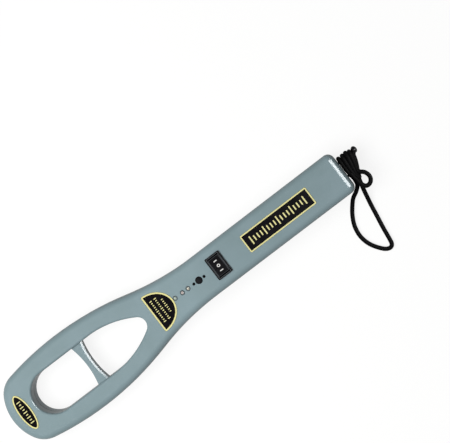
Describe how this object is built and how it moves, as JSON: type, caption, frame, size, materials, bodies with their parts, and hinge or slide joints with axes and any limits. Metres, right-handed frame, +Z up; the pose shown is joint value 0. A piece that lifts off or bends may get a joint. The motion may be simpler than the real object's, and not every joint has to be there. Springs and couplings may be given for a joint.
{
  "type": "metal detector wand",
  "caption": "Hand-held security metal detector wand: egg-shaped search head with a bridged window, neck lamps, rocker switch, battery handle and wrist strap.",
  "frame": {"origin": "on the floor under the middle of the wand, which lies on its back", "axes": "+X from the nose of the search head to the end of the handle, +Z up through the printed face"},
  "size_m": [0.4251, 0.1324, 0.0401],
  "materials": {
    "casing": "moulded ABS, grey blue, fine satin texture",
    "bridge": "moulded ABS, grey blue, satin",
    "label_foil": "printed polycarbonate foil, black with a pale yellow border",
    "switch_black": "black nylon with white marks",
    "lens_green": "water-clear epoxy lens",
    "lens_red": "water-clear epoxy lens",
    "lens_yellow": "water-clear epoxy lens",
    "tinned_steel": "tinned or nickel-plated",
    "brass_contact": "plain brass",
    "black_plastic": "black moulded plastic",
    "board_green": "glass-epoxy board with green mask",
    "resistor_body": "lacquered",
    "capacitor_sleeve": "shrunk sleeve",
    "ferrite": "sintered ferrite with windings",
    "trimmer_blue": "blue moulded body",
    "copper_coil": "enamelled copper winding under tape",
    "rubber_black": "soft black rubber",
    "foam_grey": "open-cell foam",
    "steel": "drawn and zinc-plated",
    "battery_wrap": "printed steel jacket, plain",
    "mesh_cloth": "black acoustic cloth",
    "cord_black": "braided polyester cord",
    "lead_red": "PVC insulated",
    "lead_black": "PVC insulated"
  },
  "bodies": {
    "casing": {"front_cover": "casing", "rear_cover": "casing", "window_bridge": "bridge", "cover_screws": "steel", "label_oval": "label_foil", "label_half_moon": "label_foil", "label_long": "label_foil", "switch_housing": "switch_black", "switch_terminals": "brass_contact", "lamp_power": "lens_green", "lamp_alarm": "lens_red", "lamp_battery": "lens_yellow", "lamp_leads": "tinned_steel", "sounder": "black_plastic", "dust_mesh": "mesh_cloth", "indicator_board": "board_green", "main_board": "board_green", "indicator_board_screws": "steel", "main_board_screws": "steel", "chips": "black_plastic", "chip_legs": "tinned_steel", "capacitors": "capacitor_sleeve", "resistors": "resistor_body", "tuning_inductor": "ferrite", "link_header": "black_plastic", "link_pins": "tinned_steel", "sensitivity_trimmer": "trimmer_blue", "vibration_motor": "steel", "motor_sleeve": "rubber_black", "battery": "battery_wrap", "battery_studs": "tinned_steel", "battery_snap": "black_plastic", "battery_foam": "foam_grey", "search_coil": "copper_coil", "coil_pads": "foam_grey", "strap_bow": "steel", "strap_knot": "cord_black", "strap_end": "cord_black", "strap_loop": "cord_black", "strap_ear": "cord_black", "coil_leads": "lead_black", "switch_leads": "lead_red", "motor_leads": "lead_black", "battery_leads": "lead_red"},
    "rocker": {"switch_rocker": "switch_black"},
    "door": {"battery_door": "casing"},
    "trimmer": {"trimmer_screw": "brass_contact"},
    "rotor": {"motor_shaft": "steel", "eccentric_weight": "brass_contact"}
  },
  "joints": [
    {"name": "rocker_tilt", "type": "hinge", "parent": "casing", "child": "rocker", "pos_m": [0.0476, 0, 0.0346], "axis": [1, 0, 0], "range_deg": [-10, 10]},
    {"name": "door_slide", "type": "slide", "parent": "casing", "child": "door", "axis": [1, 0, 0], "range_m": [0, 0.055]},
    {"name": "trimmer_turn", "type": "hinge", "parent": "casing", "child": "trimmer", "pos_m": [0.0787, 0, 0.006], "axis": [0, 0, 1], "range_deg": [-135, 135]},
    {"name": "weight_spin", "type": "hinge", "parent": "casing", "child": "rotor", "pos_m": [0.1207, 0, 0.0086], "axis": [1, 0, 0], "continuous": true}
  ]
}
